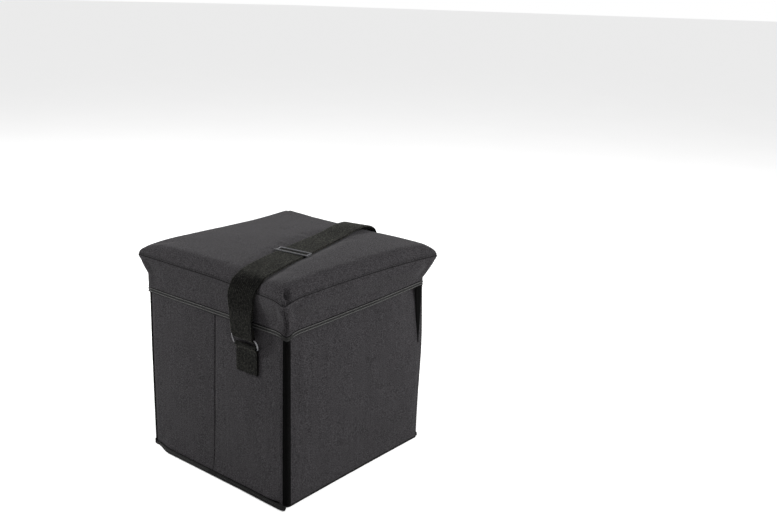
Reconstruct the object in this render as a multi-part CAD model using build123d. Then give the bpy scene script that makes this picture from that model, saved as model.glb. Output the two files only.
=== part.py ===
from build123d import *
import os
from math import cos, radians, sin

os.makedirs("parts", exist_ok=True)

# Folding insulated carrier: a cube of soft walls with a padded lift-off lid.
# +Z is up. The origin is the centre of the footprint, on the floor.
# Front (-Y) and back (+Y) walls are plain, left (-X) and right (+X) walls fold at a centre crease.

# Wall layers, outside to inside
fabric_t = 0.8
board_t = 2.4
foam_t = 3.2
liner_t = 0.6
wall_t = fabric_t + board_t + foam_t + liner_t

# Body
shell_half = 163.0
inner_half = shell_half - wall_t
rim_z = 350.0
base_z = 0.0
plain_half = 155.2
corner_r = 6.0
board_corner_r = 5.0

# Binding tape
tape_t = 1.2
rim_tape_h = 14.0
rim_tape_in_h = 12.0
base_tape_t = 2.0
base_tape_h = 9.0
base_tape_in_h = 7.0
tape_round_r = 0.8

# Bottom panel, hinged along the foot of the front wall
panel_foam_t = 2.0
panel_board_t = 2.0
panel_t = fabric_t + panel_board_t + panel_foam_t + liner_t
panel_half_x = 154.2
panel_front_y = -154.5
panel_back_y = 154.2
panel_corner_r = 4.0

# Folding walls hang clear of the bottom panel
fold_base_z = panel_t + 0.4
fold_gap = 0.3
corner_axis_y = 148.8
leaf_start = corner_axis_y - fold_gap
leaf_end = fold_gap
strip_end = corner_axis_y + fold_gap

# Lid
lid_seam_z = 345.0
lid_top_z = 374.4
lid_half = 175.0
lid_corner_r = 14.0
lid_edge_r = 20.0
cover_t = 1.2
lid_crown_r = 3600.0
lid_lining_z = rim_z + 0.2
lid_board_t = 3.0
lid_board_half = 171.0
skirt_low_z = 290.0
skirt_low_half = 167.4
skirt_t = 1.2
skirt_corner_r = 9.0
skirt_tape_half = 168.6
skirt_tape_in = 165.5
skirt_tape_h = 4.6

# Strap hardware
strap_w = 50.0
strap_t = 1.6
tab_w = 46.0
tab_y = -81.0
tab_low_z = 207.0
ring_x = 168.8
ring_low_z = 251.0
ring_rise = 17.0
ring_span = 56.0
ring_corner_r = 4.0
wire_r = 1.9
loop_clear = 0.2
loop_w = 46.0
strap_end_z = 281.5

# Strap over the lid
strap_slope = 0.185
strap_top_z = 379.0
strap_flat_x = (-130.0, 72.0)

# Strap adjuster
adjuster_x = -42.0
adjuster_w = 62.0
adjuster_l = 27.0
adjuster_bar = 5.0
adjuster_t = 3.0
adjuster_gap = 0.4


def slab(side, along, depth, height):
    """Block lying against one side: span along the wall, distances out from the centre, heights."""
    length = along[1] - along[0]
    thick = depth[1] - depth[0]
    mid_along = (along[0] + along[1]) / 2
    mid_depth = (depth[0] + depth[1]) / 2
    mid_z = (height[0] + height[1]) / 2
    rise = height[1] - height[0]
    if side in ("front", "back"):
        out = -mid_depth if side == "front" else mid_depth
        return Pos(mid_along, out, mid_z) * Box(length, thick, rise)
    out = -mid_depth if side == "left" else mid_depth
    return Pos(out, mid_along, mid_z) * Box(thick, length, rise)


def normal_axis(side):
    """Axis square to a wall."""
    return Axis.Y if side in ("front", "back") else Axis.X


def along_axis(side):
    """Horizontal axis that runs along a wall."""
    return Axis.X if side in ("front", "back") else Axis.Y


def rounded_slab(side, along, depth, height, radius):
    """Flat layer with rounded corners."""
    layer = slab(side, along, depth, height)
    return fillet(layer.edges().filter_by(normal_axis(side)), radius)


def wall_shell(side, along, foot):
    """Outer fabric of one wall leaf."""
    return slab(side, along, (shell_half - fabric_t, shell_half), (foot + tape_t, rim_z - tape_t))


def wall_board(side, along, foot):
    """Stiff board behind the outer fabric."""
    outer = shell_half - fabric_t
    return rounded_slab(side, along, (outer - board_t, outer), (foot + tape_t, rim_z - tape_t), board_corner_r)


def wall_foam(side, along, foot):
    """Foam layer between the board and the liner."""
    outer = inner_half + liner_t + foam_t
    return rounded_slab(side, along, (outer - foam_t, outer), (foot + tape_t, rim_z - tape_t), board_corner_r)


def wall_liner(side, along, foot):
    """Liner sheet facing the food."""
    return slab(side, along, (inner_half, inner_half + liner_t), (foot + tape_t, rim_z - tape_t))


def rim_tape(side, along):
    """Binding folded over the top edge of a leaf."""
    top = slab(side, along, (inner_half - tape_t, shell_half + tape_t), (rim_z - tape_t, rim_z))
    outer = slab(side, along, (shell_half, shell_half + tape_t), (rim_z - rim_tape_h, rim_z - tape_t))
    inner = slab(side, along, (inner_half - tape_t, inner_half), (rim_z - rim_tape_in_h, rim_z - tape_t))
    tape = top + outer + inner
    edges = tape.edges().filter_by(along_axis(side)).group_by(Axis.Z)[-1]
    return fillet(edges, tape_round_r)


def base_tape(side, along, foot):
    """Binding folded under the bottom edge of a leaf, thicker outside where it stands out as a flange."""
    bottom = slab(side, along, (inner_half - tape_t, shell_half + base_tape_t), (foot, foot + tape_t))
    outer = slab(
        side, along, (shell_half, shell_half + base_tape_t), (foot + tape_t, foot + base_tape_h)
    )
    inner = slab(side, along, (inner_half - tape_t, inner_half), (foot + tape_t, foot + base_tape_in_h))
    tape = bottom + outer + inner
    edges = tape.edges().filter_by(along_axis(side)).group_by(Axis.Z)[-1]
    return fillet(edges, tape_round_r)


def corner_strip(sign_x, sign_y, foot):
    """Fabric hinge strip bent round one vertical corner."""
    height = rim_z - foot
    reach = shell_half + 1
    outer = RectangleRounded(2 * shell_half, 2 * shell_half, corner_r)
    inner = RectangleRounded(
        2 * (shell_half - fabric_t), 2 * (shell_half - fabric_t), corner_r - fabric_t
    )
    mid_x = (plain_half + reach) / 2
    mid_y = (strip_end + reach) / 2
    window = Pos(sign_x * mid_x, sign_y * mid_y) * Rectangle(reach - plain_half, reach - strip_end)
    return Pos(0, 0, foot) * extrude((outer - inner) & window, height)


def tab(sign_x):
    """Webbing tab sewn to the outer fabric, with a loop at its top for the ring."""
    hole_r = wire_r + loop_clear
    eye_r = hole_r + strap_t
    low = Pos((shell_half + 2 * strap_t) / 2 + shell_half / 2, (tab_low_z + ring_low_z) / 2)
    leg = low * Rectangle(2 * strap_t, ring_low_z - tab_low_z)
    eye = Pos(ring_x, ring_low_z) * Circle(eye_r)
    hole = Pos(ring_x, ring_low_z) * Circle(hole_r)
    section = leg + eye - hole
    solid = extrude(Plane.XZ * section, tab_w / 2, both=True)
    placed = Pos(0, tab_y, 0) * solid
    return placed if sign_x > 0 else mirror(placed, about=Plane.YZ)


def ring(sign_x):
    """Rectangular wire ring standing up in its tab."""
    frame = Plane(
        origin=(sign_x * ring_x, tab_y, ring_low_z + ring_rise / 2), x_dir=(0, 1, 0), z_dir=(1, 0, 0)
    )
    path = (frame * RectangleRounded(ring_span, ring_rise, ring_corner_r)).wire()
    start = Plane(origin=path @ 0, z_dir=path % 0)
    return sweep(start * Circle(wire_r), path=path)


def strap_end(sign_x):
    """Sewn end of the strap, looped round the upper bar of the ring."""
    hole_r = wire_r + loop_clear
    eye_r = hole_r + strap_t
    eye_z = ring_low_z + ring_rise
    mid_x = ring_x + eye_r - strap_t
    leg = Pos(mid_x, (eye_z + strap_end_z) / 2) * Rectangle(2 * strap_t, strap_end_z - eye_z)
    eye = Pos(ring_x, eye_z) * Circle(eye_r)
    hole = Pos(ring_x, eye_z) * Circle(hole_r)
    section = leg + eye - hole
    placed = Pos(0, tab_y, 0) * extrude(Plane.XZ * section, loop_w / 2, both=True)
    return placed if sign_x > 0 else mirror(placed, about=Plane.YZ)


def panel_layer(low_z, high_z):
    """Layer of the bottom panel."""
    depth = panel_back_y - panel_front_y
    sheet = RectangleRounded(2 * panel_half_x, depth, panel_corner_r)
    return Pos(0, (panel_back_y + panel_front_y) / 2, low_z) * extrude(sheet, high_z - low_z)


def rounded_block(half, low_z, high_z, corner, edge):
    """Square block with rounded upright edges and a rolled top edge."""
    block = Pos(0, 0, low_z) * extrude(RectangleRounded(2 * half, 2 * half, corner), high_z - low_z)
    return fillet(block.edges().group_by(Axis.Z)[-1], edge)


def crown(top_z):
    """Ball whose top gives the lid its slight dome."""
    return Pos(0, 0, top_z - lid_crown_r) * Sphere(lid_crown_r)


def lid_core(low_z):
    """Padding volume under the lid's cover."""
    top = lid_top_z - cover_t
    block = rounded_block(lid_half - cover_t, low_z, top, lid_corner_r - cover_t, lid_edge_r - cover_t)
    return block & crown(top)


def lid_top_cover():
    """Crowned fabric cover of the seat pad."""
    block = rounded_block(lid_half, lid_seam_z, lid_top_z, lid_corner_r, lid_edge_r)
    return (block & crown(lid_top_z)) - lid_core(lid_seam_z)


def lid_skirt():
    """Skirt that narrows from the lid's seam down to the walls."""
    low = Pos(0, 0, skirt_low_z)
    high = Pos(0, 0, lid_seam_z)
    low_in = skirt_low_half - skirt_t
    high_in = lid_half - skirt_t
    outer = loft(
        [
            low * RectangleRounded(2 * skirt_low_half, 2 * skirt_low_half, skirt_corner_r),
            high * RectangleRounded(2 * lid_half, 2 * lid_half, lid_corner_r),
        ]
    )
    inner = loft(
        [
            low * RectangleRounded(2 * low_in, 2 * low_in, skirt_corner_r - skirt_t),
            high * RectangleRounded(2 * high_in, 2 * high_in, lid_corner_r - skirt_t),
        ]
    )
    return outer - inner


def skirt_tape():
    """Binding along the lower edge of the skirt."""
    outer = RectangleRounded(2 * skirt_tape_half, 2 * skirt_tape_half, skirt_corner_r + 1)
    inner = RectangleRounded(2 * skirt_tape_in, 2 * skirt_tape_in, skirt_corner_r - 2)
    band = extrude(outer - inner, skirt_tape_h)
    return Pos(0, 0, skirt_low_z - skirt_tape_h) * band


def strap_y(x):
    """The strap lies slightly askew across the lid."""
    return tab_y + strap_slope * (x + 180)


def strap_stations():
    """Points along the strap with the width direction at each, left ring to right ring."""
    lay = Vector(-sin(radians(10.5)), cos(radians(10.5)), 0)
    level = Vector(0, 1, 0)
    flat = strap_top_z
    return [
        (Vector(-172.4, tab_y, 283.0), level),
        (Vector(-176.0, tab_y, 300.0), Vector(-0.06, 1, 0)),
        (Vector(-181.5, tab_y, 326.0), Vector(-0.12, 1, 0)),
        (Vector(-184.0, tab_y, 346.0), Vector(-0.16, 1, 0)),
        (Vector(-182.0, strap_y(-182.0), 361.0), lay),
        (Vector(-172.0, strap_y(-172.0), 372.5), lay),
        (Vector(-154.0, strap_y(-154.0), 378.0), lay),
        (Vector(strap_flat_x[0], strap_y(strap_flat_x[0]), flat), lay),
        (Vector(strap_flat_x[1], strap_y(strap_flat_x[1]), flat), lay),
        (Vector(98.0, strap_y(98.0), flat + 3.0), lay),
        (Vector(124.0, strap_y(124.0), flat + 5.5), lay),
        (Vector(150.0, strap_y(150.0), flat + 4.0), lay),
        (Vector(173.0, strap_y(173.0), flat - 4.0), lay),
        (Vector(184.0, -16.0, 360.0), Vector(-0.10, 1, -0.14)),
        (Vector(185.0, -22.0, 341.0), Vector(0.0, 1, -0.30)),
        (Vector(183.0, -36.0, 323.0), Vector(0.05, 1, -0.42)),
        (Vector(178.5, -55.0, 306.0), Vector(0.05, 1, -0.32)),
        (Vector(174.6, -72.0, 292.5), Vector(0.02, 1, -0.10)),
        (Vector(172.4, tab_y, 283.0), level),
    ]


def shoulder_strap():
    """Webbing that runs over the lid from one side to the other."""
    stations = strap_stations()
    sections = []
    for index, (point, wide) in enumerate(stations):
        before = stations[max(index - 1, 0)][0]
        after = stations[min(index + 1, len(stations) - 1)][0]
        tangent = (after - before).normalized()
        if index == 0 or index == len(stations) - 1:
            tangent = Vector(0, 0, 1 if index == 0 else -1)
        across = wide.normalized()
        square = (tangent - across * tangent.dot(across)).normalized()
        plane = Plane(origin=point, x_dir=across, z_dir=square)
        sections.append(plane * Rectangle(strap_w, strap_t))
    return loft(sections, ruled=True)


def strap_adjuster():
    """Three-bar slider: end bars lie over the webbing and the middle bar under it."""
    rail_w = (adjuster_w - strap_w - 2) / 2
    rail_y = (adjuster_w - rail_w) / 2
    over_z = strap_t / 2 + adjuster_gap + adjuster_t / 2
    under_z = -over_z
    end_x = (adjuster_l - adjuster_bar) / 2
    rise = 2 * over_z + adjuster_t
    rails = Pos(0, rail_y, 0) * Box(adjuster_l, rail_w, rise)
    rails += Pos(0, -rail_y, 0) * Box(adjuster_l, rail_w, rise)
    ends = Pos(end_x, 0, over_z) * Box(adjuster_bar, adjuster_w, adjuster_t)
    ends += Pos(-end_x, 0, over_z) * Box(adjuster_bar, adjuster_w, adjuster_t)
    middle = Pos(0, 0, under_z) * Box(adjuster_bar, adjuster_w, adjuster_t)
    frame = rails + ends + middle
    frame = fillet(frame.edges().filter_by(Axis.Z).group_by(SortBy.DISTANCE)[-1], 1.5)
    turned = Rot(0, 0, 10.5) * frame
    return Pos(adjuster_x, strap_y(adjuster_x), strap_top_z) * turned


def wall_nodes(name, side, along, foot):
    """All layers and tapes of one wall leaf."""
    return {
        f"{name}_shell": wall_shell(side, along, foot),
        f"{name}_board": wall_board(side, along, foot),
        f"{name}_foam": wall_foam(side, along, foot),
        f"{name}_liner": wall_liner(side, along, foot),
        f"{name}_rim_tape": rim_tape(side, along),
        f"{name}_base_tape": base_tape(side, along, foot),
    }


def panel_nodes():
    """Layers of the bottom panel, outside to inside."""
    board_z = fabric_t
    foam_z = board_z + panel_board_t
    liner_z = foam_z + panel_foam_t
    return {
        "bottom_fabric": panel_layer(base_z, board_z),
        "bottom_board": panel_layer(board_z, foam_z),
        "bottom_foam": panel_layer(foam_z, liner_z),
        "bottom_liner": panel_layer(liner_z, panel_t),
    }


def lid_nodes():
    """Seat pad, lining, board and skirt of the lid."""
    board_low = lid_lining_z + fabric_t
    board_high = board_low + lid_board_t
    sheet = RectangleRounded(2 * lid_board_half, 2 * lid_board_half, lid_corner_r)
    return {
        "lid_top_cover": lid_top_cover(),
        "lid_foam_pad": lid_core(board_high),
        "lid_board": Pos(0, 0, board_low) * extrude(sheet, lid_board_t),
        "lid_lining": Pos(0, 0, lid_lining_z) * extrude(sheet, fabric_t),
        "lid_skirt": lid_skirt(),
        "lid_skirt_tape": skirt_tape(),
    }


def carrier():
    """Every sub-part by name."""
    plain = (-plain_half, plain_half)
    front_leaf = (-leaf_start, -leaf_end)
    rear_leaf = (leaf_end, leaf_start)
    nodes = wall_nodes("front", "front", plain, base_z)
    nodes.update(wall_nodes("back", "back", plain, fold_base_z))
    nodes.update(wall_nodes("left_front", "left", front_leaf, fold_base_z))
    nodes.update(wall_nodes("left_rear", "left", rear_leaf, fold_base_z))
    nodes.update(wall_nodes("right_front", "right", front_leaf, fold_base_z))
    nodes.update(wall_nodes("right_rear", "right", rear_leaf, fold_base_z))
    nodes["corner_strip_front_left"] = corner_strip(-1, -1, base_z)
    nodes["corner_strip_front_right"] = corner_strip(1, -1, base_z)
    nodes["corner_strip_rear_left"] = corner_strip(-1, 1, fold_base_z)
    nodes["corner_strip_rear_right"] = corner_strip(1, 1, fold_base_z)
    nodes.update(panel_nodes())
    nodes.update(lid_nodes())
    nodes["shoulder_strap"] = shoulder_strap()
    nodes["strap_adjuster"] = strap_adjuster()
    for side, sign_x in (("left", -1), ("right", 1)):
        nodes[f"{side}_tab"] = tab(sign_x)
        nodes[f"{side}_ring"] = ring(sign_x)
        nodes[f"{side}_strap_end"] = strap_end(sign_x)
    return nodes


for node, solid in carrier().items():
    export_step(solid, f"parts/{node}.step")
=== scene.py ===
import math

import bmesh
import bpy
from mathutils import Matrix, Vector, noise


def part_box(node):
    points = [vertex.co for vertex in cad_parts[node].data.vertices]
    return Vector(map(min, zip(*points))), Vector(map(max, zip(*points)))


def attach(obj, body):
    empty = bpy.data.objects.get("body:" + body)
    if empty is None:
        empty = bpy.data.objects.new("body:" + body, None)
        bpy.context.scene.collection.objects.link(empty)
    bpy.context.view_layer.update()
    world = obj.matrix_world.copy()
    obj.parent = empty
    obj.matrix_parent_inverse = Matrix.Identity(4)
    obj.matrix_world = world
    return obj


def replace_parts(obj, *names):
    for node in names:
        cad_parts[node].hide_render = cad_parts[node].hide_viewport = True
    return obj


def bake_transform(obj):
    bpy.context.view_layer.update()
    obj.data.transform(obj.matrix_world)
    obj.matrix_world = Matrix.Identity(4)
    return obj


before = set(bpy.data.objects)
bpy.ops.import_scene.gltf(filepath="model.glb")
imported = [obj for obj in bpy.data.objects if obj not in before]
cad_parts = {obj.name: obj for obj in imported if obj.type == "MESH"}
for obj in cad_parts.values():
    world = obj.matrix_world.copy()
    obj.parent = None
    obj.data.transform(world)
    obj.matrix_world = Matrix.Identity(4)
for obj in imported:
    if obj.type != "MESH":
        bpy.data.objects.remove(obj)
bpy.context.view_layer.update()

MM = 0.001


def low(node):
    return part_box(node)[0]


def high(node):
    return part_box(node)[1]


# ---------------------------------------------------------------- sizes taken from the CAD frame
H = high("back_shell").y                     # outer face of the wall fabric
HI = low("back_liner").y                     # inner face of the liner
RIM = high("front_rim_tape").z
RIM_LOW = low("front_rim_tape").z
PLAIN = high("front_shell").x                # where a plain wall ends beside the corner strip
LEAF = high("left_rear_shell").y             # where a creased leaf ends beside the corner strip
CORNER_R = 6 * MM
STRIP_HALF = 7.2 * MM                        # how far the hinge tape reaches on each side of a corner
FOOT = low("left_front_base_tape").z
SEAM_Z = low("lid_top_cover").z + 2.4 * MM   # the seam between pad and skirt
LID_H = high("lid_top_cover").x
SKIRT_LOW = low("lid_skirt_tape").z
SKIRT_H = high("lid_skirt_tape").x
TAB_Y = (low("left_tab").y + high("left_tab").y) / 2
STRAP_Z = (low("strap_adjuster").z + high("strap_adjuster").z) / 2 - 5.8 * MM


# ---------------------------------------------------------------- materials
def new_material(name):
    mat = bpy.data.materials.new(name)
    mat.use_nodes = True
    tree = mat.node_tree
    return mat, tree, tree.nodes["Principled BSDF"]


def node(tree, kind, **settings):
    made = tree.nodes.new(kind)
    for key, value in settings.items():
        if key in made.inputs:
            made.inputs[key].default_value = value
        else:
            setattr(made, key, value)
    return made


def math_node(tree, operation, a, b=None):
    made = tree.nodes.new("ShaderNodeMath")
    made.operation = operation
    for index, value in enumerate((a, b)):
        if value is None:
            continue
        if isinstance(value, (int, float)):
            made.inputs[index].default_value = value
        else:
            tree.links.new(value, made.inputs[index])
    return made.outputs[0]


def add(tree, a, b):
    return math_node(tree, "ADD", a, b)


def mul(tree, a, b):
    return math_node(tree, "MULTIPLY", a, b)


def position(tree):
    coords = node(tree, "ShaderNodeTexCoord")
    parts = node(tree, "ShaderNodeSeparateXYZ")
    tree.links.new(coords.outputs["Object"], parts.inputs[0])
    return coords.outputs["Object"], parts.outputs


def thread_wave(tree, along, pitch):
    return math_node(tree, "SINE", mul(tree, along, 2 * math.pi / pitch))


def noise_value(tree, vector, scale, detail=4.0, roughness=0.6):
    made = node(tree, "ShaderNodeTexNoise", Scale=scale, Detail=detail, Roughness=roughness)
    tree.links.new(vector, made.inputs["Vector"])
    return made.outputs["Fac"]


def ramp(tree, value, stops):
    made = tree.nodes.new("ShaderNodeValToRGB")
    tree.links.new(value, made.inputs[0])
    elements = made.color_ramp.elements
    while len(elements) < len(stops):
        elements.new(0.5)
    for element, (place, colour) in zip(elements, stops):
        element.position = place
        element.color = (*colour, 1)
    return made.outputs[0]


def colour(tree, bsdf, value, stops):
    tree.links.new(ramp(tree, value, stops), bsdf.inputs["Base Color"])


def surface(bsdf, **values):
    """Sets shader inputs, named with underscores for spaces."""
    for key, value in values.items():
        bsdf.inputs[key.replace("_", " ")].default_value = value


def bump(tree, bsdf, height, strength, distance):
    made = node(tree, "ShaderNodeBump", Strength=strength, Distance=distance)
    tree.links.new(height, made.inputs["Height"])
    tree.links.new(made.outputs[0], bsdf.inputs["Normal"])


def cloth_material(name, dark, light, pitch, rough, sheen):
    """Plain weave in all three axes, so any face square to one of them shows warp and weft."""
    mat, tree, bsdf = new_material(name)
    vector, axes = position(tree)
    geometry = node(tree, "ShaderNodeNewGeometry")
    facing = node(tree, "ShaderNodeSeparateXYZ")
    tree.links.new(geometry.outputs["True Normal"], facing.inputs[0])
    weave = None
    for axis, lean in zip(axes, facing.outputs):
        aside = math_node(tree, "SUBTRACT", 1.0, math_node(tree, "ABSOLUTE", lean))
        share = mul(tree, math_node(tree, "POWER", aside, 2.0), 1.6)
        share = math_node(tree, "MINIMUM", share, 1.0)
        wave = mul(tree, thread_wave(tree, axis, pitch), share)
        weave = wave if weave is None else add(tree, weave, wave)
    slub = noise_value(tree, vector, 700.0, 3.0)
    grain = noise_value(tree, vector, 740.0, 1.0)
    patch = noise_value(tree, vector, 38.0, 3.0)
    upright = node(tree, "ShaderNodeMapping")
    upright.inputs["Scale"].default_value = (1.0, 1.0, 0.05)
    tree.links.new(vector, upright.inputs["Vector"])
    streak = noise_value(tree, upright.outputs[0], 260.0, 3.0)
    shade = mul(tree, weave, 0.05)
    shade = add(tree, shade, mul(tree, slub, 0.45))
    grain = mul(tree, math_node(tree, "SUBTRACT", grain, 0.5), 0.85)
    shade = add(tree, shade, add(tree, grain, 0.175))
    shade = add(tree, shade, mul(tree, streak, 0.13))
    shade = add(tree, shade, mul(tree, patch, 0.07))
    colour(tree, bsdf, shade, [(0.32, dark), (0.70, light)])
    bump(tree, bsdf, add(tree, mul(tree, weave, 0.33), slub), 0.55, 0.16 * MM)
    surface(bsdf, Roughness=rough, Specular_IOR_Level=0.08, Sheen_Weight=sheen, Sheen_Roughness=0.45)
    return mat


def ribbed_material(name, dark, light, rib, rough, spec=0.3, painted_sheen=0.0):
    """Webbing and tape: cross ribs along U, woven cords along V, from the piece's own UV in metres.

    Given a sheen amount, the threads are toothed, and a painted sheen makes their colour paler the flatter
    they are seen.
    """
    mat, tree, bsdf = new_material(name)
    uv = node(tree, "ShaderNodeUVMap", uv_map="lay")
    parts = node(tree, "ShaderNodeSeparateXYZ")
    tree.links.new(uv.outputs[0], parts.inputs[0])
    u, v = parts.outputs[0], parts.outputs[1]
    cords = thread_wave(tree, v, rib)
    ribs = thread_wave(tree, add(tree, u, mul(tree, cords, 0.35 * rib)), rib * 0.75)
    weave = add(tree, mul(tree, ribs, 0.6), mul(tree, cords, 0.4))
    vector, _ = position(tree)
    fuzz = noise_value(tree, vector, 900.0, 2.0)
    patch = noise_value(tree, vector, 45.0, 4.0)
    shade = add(tree, mul(tree, weave, 0.45), mul(tree, fuzz, 0.60))
    shade = add(tree, shade, mul(tree, patch, 0.25))
    tone = ramp(tree, shade, [(0.25, dark), (0.85, light)])
    if painted_sheen:
        # Painted sheen: the colour is lifted by the facing weight, so it is paler where the webbing is seen
        # at a grazing angle.
        view = node(tree, "ShaderNodeLayerWeight")
        view.inputs["Blend"].default_value = 0.5
        lift = mul(tree, math_node(tree, "POWER", view.outputs["Facing"], 2.2), painted_sheen)
        tooth = mul(tree, noise_value(tree, vector, 380.0, 1.0), 5.6)
        tooth = math_node(tree, "MAXIMUM", math_node(tree, "SUBTRACT", tooth, 1.8), 0.1)
        scale = node(tree, "ShaderNodeVectorMath", operation="SCALE")
        tree.links.new(tone, scale.inputs[0])
        tree.links.new(mul(tree, add(tree, lift, 1.0), tooth), scale.inputs["Scale"])
        tone = scale.outputs[0]
    tree.links.new(tone, bsdf.inputs["Base Color"])
    bump(tree, bsdf, add(tree, weave, mul(tree, fuzz, 0.6)), 0.7, 0.25 * MM)
    surface(bsdf, Roughness=rough, Specular_IOR_Level=spec, Sheen_Weight=0.02)
    return mat


def film_material():
    """Silver film of the liner: fine creases and a soft metallic sheen. Its colour is painted darker in the
    hollows of the fold bump and along the crease lines: painted shade.
    """
    mat, tree, bsdf = new_material("liner_film")
    vector, _ = position(tree)
    fold = noise_value(tree, vector, 26.0, 6.0, 0.65)
    crease = node(tree, "ShaderNodeTexVoronoi", Scale=34.0, feature="DISTANCE_TO_EDGE")
    tree.links.new(vector, crease.inputs["Vector"])
    edge = math_node(tree, "MINIMUM", mul(tree, crease.outputs["Distance"], 2.2), 0.35)
    shade = add(tree, mul(tree, fold, 0.8), mul(tree, edge, 0.6))
    stops = [(0.30, (0.30, 0.32, 0.35)), (0.60, (0.48, 0.50, 0.53)), (0.85, (0.66, 0.68, 0.71))]
    colour(tree, bsdf, shade, stops)
    bump(tree, bsdf, add(tree, mul(tree, fold, 1.6), edge), 0.6, 1.6 * MM)
    surface(bsdf, Metallic=0.45, Roughness=0.42)
    return mat


def wire_material():
    mat, tree, bsdf = new_material("ring_wire")
    vector, _ = position(tree)
    scuff = noise_value(tree, vector, 260.0, 5.0)
    colour(tree, bsdf, scuff, [(0.35, (0.10, 0.10, 0.105)), (0.65, (0.24, 0.24, 0.25))])
    tree.links.new(add(tree, mul(tree, scuff, 0.25), 0.12), bsdf.inputs["Roughness"])
    bump(tree, bsdf, scuff, 0.15, 0.05 * MM)
    surface(bsdf, Metallic=1.0)
    return mat


def adjuster_material():
    mat, tree, bsdf = new_material("adjuster_satin")
    vector, _ = position(tree)
    scuff = noise_value(tree, vector, 320.0, 5.0)
    geometry = node(tree, "ShaderNodeNewGeometry")
    # Painted highlight: the colour is lightened on sharp convex edges, by pointiness.
    edge_highlight_paint = mul(tree, math_node(tree, "SUBTRACT", geometry.outputs["Pointiness"], 0.5), 2.4)
    shade = add(tree, mul(tree, scuff, 0.6), edge_highlight_paint)
    colour(tree, bsdf, shade, [(0.25, (0.045, 0.045, 0.05)), (0.62, (0.20, 0.20, 0.21))])
    bump(tree, bsdf, scuff, 0.25, 0.08 * MM)
    surface(bsdf, Metallic=0.35, Roughness=0.34)
    return mat


def thread_material(name, tone, rough=0.6):
    mat, tree, bsdf = new_material(name)
    vector, _ = position(tree)
    twist = noise_value(tree, vector, 1800.0, 2.0)
    colour(tree, bsdf, twist, [(0.3, tuple(c * 0.7 for c in tone)), (0.7, tone)])
    bump(tree, bsdf, twist, 0.4, 0.05 * MM)
    surface(bsdf, Specular_IOR_Level=0.08, Roughness=rough)
    return mat


def core_material(name, dark, light, scale, rough, pores):
    """Hidden layers: pressed fibre of the boards, open cells of the foam."""
    mat, tree, bsdf = new_material(name)
    vector, _ = position(tree)
    if pores:
        cells = node(tree, "ShaderNodeTexVoronoi", Scale=scale)
        tree.links.new(vector, cells.inputs["Vector"])
        grain = cells.outputs["Distance"]
    else:
        grain = noise_value(tree, vector, scale, 8.0, 0.7)
    colour(tree, bsdf, grain, [(0.3, dark), (0.7, light)])
    bump(tree, bsdf, grain, 0.5, 0.3 * MM)
    surface(bsdf, Roughness=rough)
    return mat


# Each cloth and tape is given by its darkest and lightest tone, thread pitch and roughness, then a cloth's
# sheen or a tape's shine
CLOTH_PITCH = 1.5 * MM
TAPE_RIB = 1.3 * MM
CANVAS = cloth_material(
    "canvas_weave", (0.008, 0.0075, 0.0082), (0.055, 0.0515, 0.0555), CLOTH_PITCH, 0.9, 0.05
)
LINING = cloth_material(
    "lining_cloth", (0.010, 0.010, 0.011), (0.024, 0.024, 0.026), 0.6 * CLOTH_PITCH, 0.8, 0.03
)
BINDING = ribbed_material("binding_tape", (0.026, 0.026, 0.0255), (0.095, 0.095, 0.093), TAPE_RIB, 0.6, 0.15)
HEM = ribbed_material("hem_tape", (0.004, 0.004, 0.004), (0.020, 0.020, 0.0195), TAPE_RIB, 0.7, 0.06)
SKIRT_TAPE = ribbed_material("skirt_tape", (0.012, 0.012, 0.0118), (0.052, 0.052, 0.051), TAPE_RIB, 0.7, 0.06)
# Pale copy of the skirt tape for its two folds: painted sheen along the fold edges.
FOLD_PAINTED_SHEEN = ribbed_material("skirt_fold_painted_sheen", (0.045, 0.045, 0.044), (0.135, 0.135, 0.132), TAPE_RIB, 0.6, 0.15)
# A paler copy of the hem tape, painted light for the left rear leaf's base tape, where that side of the same
# tape is lit.
HEM_PAINTED_LIT = ribbed_material("hem_tape_painted_lit", (0.008, 0.008, 0.0078), (0.034, 0.034, 0.033), TAPE_RIB, 0.7, 0.06)
# Near-black hinge tape at the corners: the tape is there, its black tone is painted shade of the recessed
# corner fold.
STRIP = ribbed_material("corner_tape_painted_shade", (0.001, 0.001, 0.001), (0.004, 0.0038, 0.004), TAPE_RIB, 0.9, 0.02)
# The webbing's last value is its painted sheen, lifting its colour where it is seen flat.
WEBBING = ribbed_material(
    "webbing_ribs", (0.0003, 0.0003, 0.0002), (0.0115, 0.0115, 0.0098), 3.3 * MM, 0.75, 0.04, 6.5
)
FILM = film_material()
WIRE = wire_material()
ADJUSTER = adjuster_material()
THREAD = thread_material("thread_black", (0.003, 0.003, 0.003), 0.9)
SEAM_THREAD = thread_material("thread_seam", (0.010, 0.010, 0.010), 0.9)
HEM_THREAD = thread_material("thread_dark", (0.028, 0.028, 0.026))
THREAD_PALE = thread_material("thread_grey", (0.070, 0.070, 0.067))
BOARD = core_material("board_fibre", (0.22, 0.16, 0.10), (0.34, 0.26, 0.18), 420.0, 0.9, False)
FOAM = core_material("foam_cells", (0.62, 0.61, 0.57), (0.80, 0.79, 0.75), 900.0, 0.95, True)


# ---------------------------------------------------------------- mesh helpers
def make(name, verts, faces, material, uvs=None, smooth=True):
    mesh = bpy.data.meshes.new(name)
    mesh.from_pydata([tuple(v) for v in verts], [], faces)
    if uvs is not None:
        layer = mesh.uv_layers.new(name="lay")
        for loop in mesh.loops:
            layer.data[loop.index].uv = uvs[loop.vertex_index]
    mesh.validate()
    for polygon in mesh.polygons:
        polygon.use_smooth = smooth
    mesh.materials.append(material)
    obj = bpy.data.objects.new(name, mesh)
    bpy.context.scene.collection.objects.link(obj)
    return obj


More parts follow.
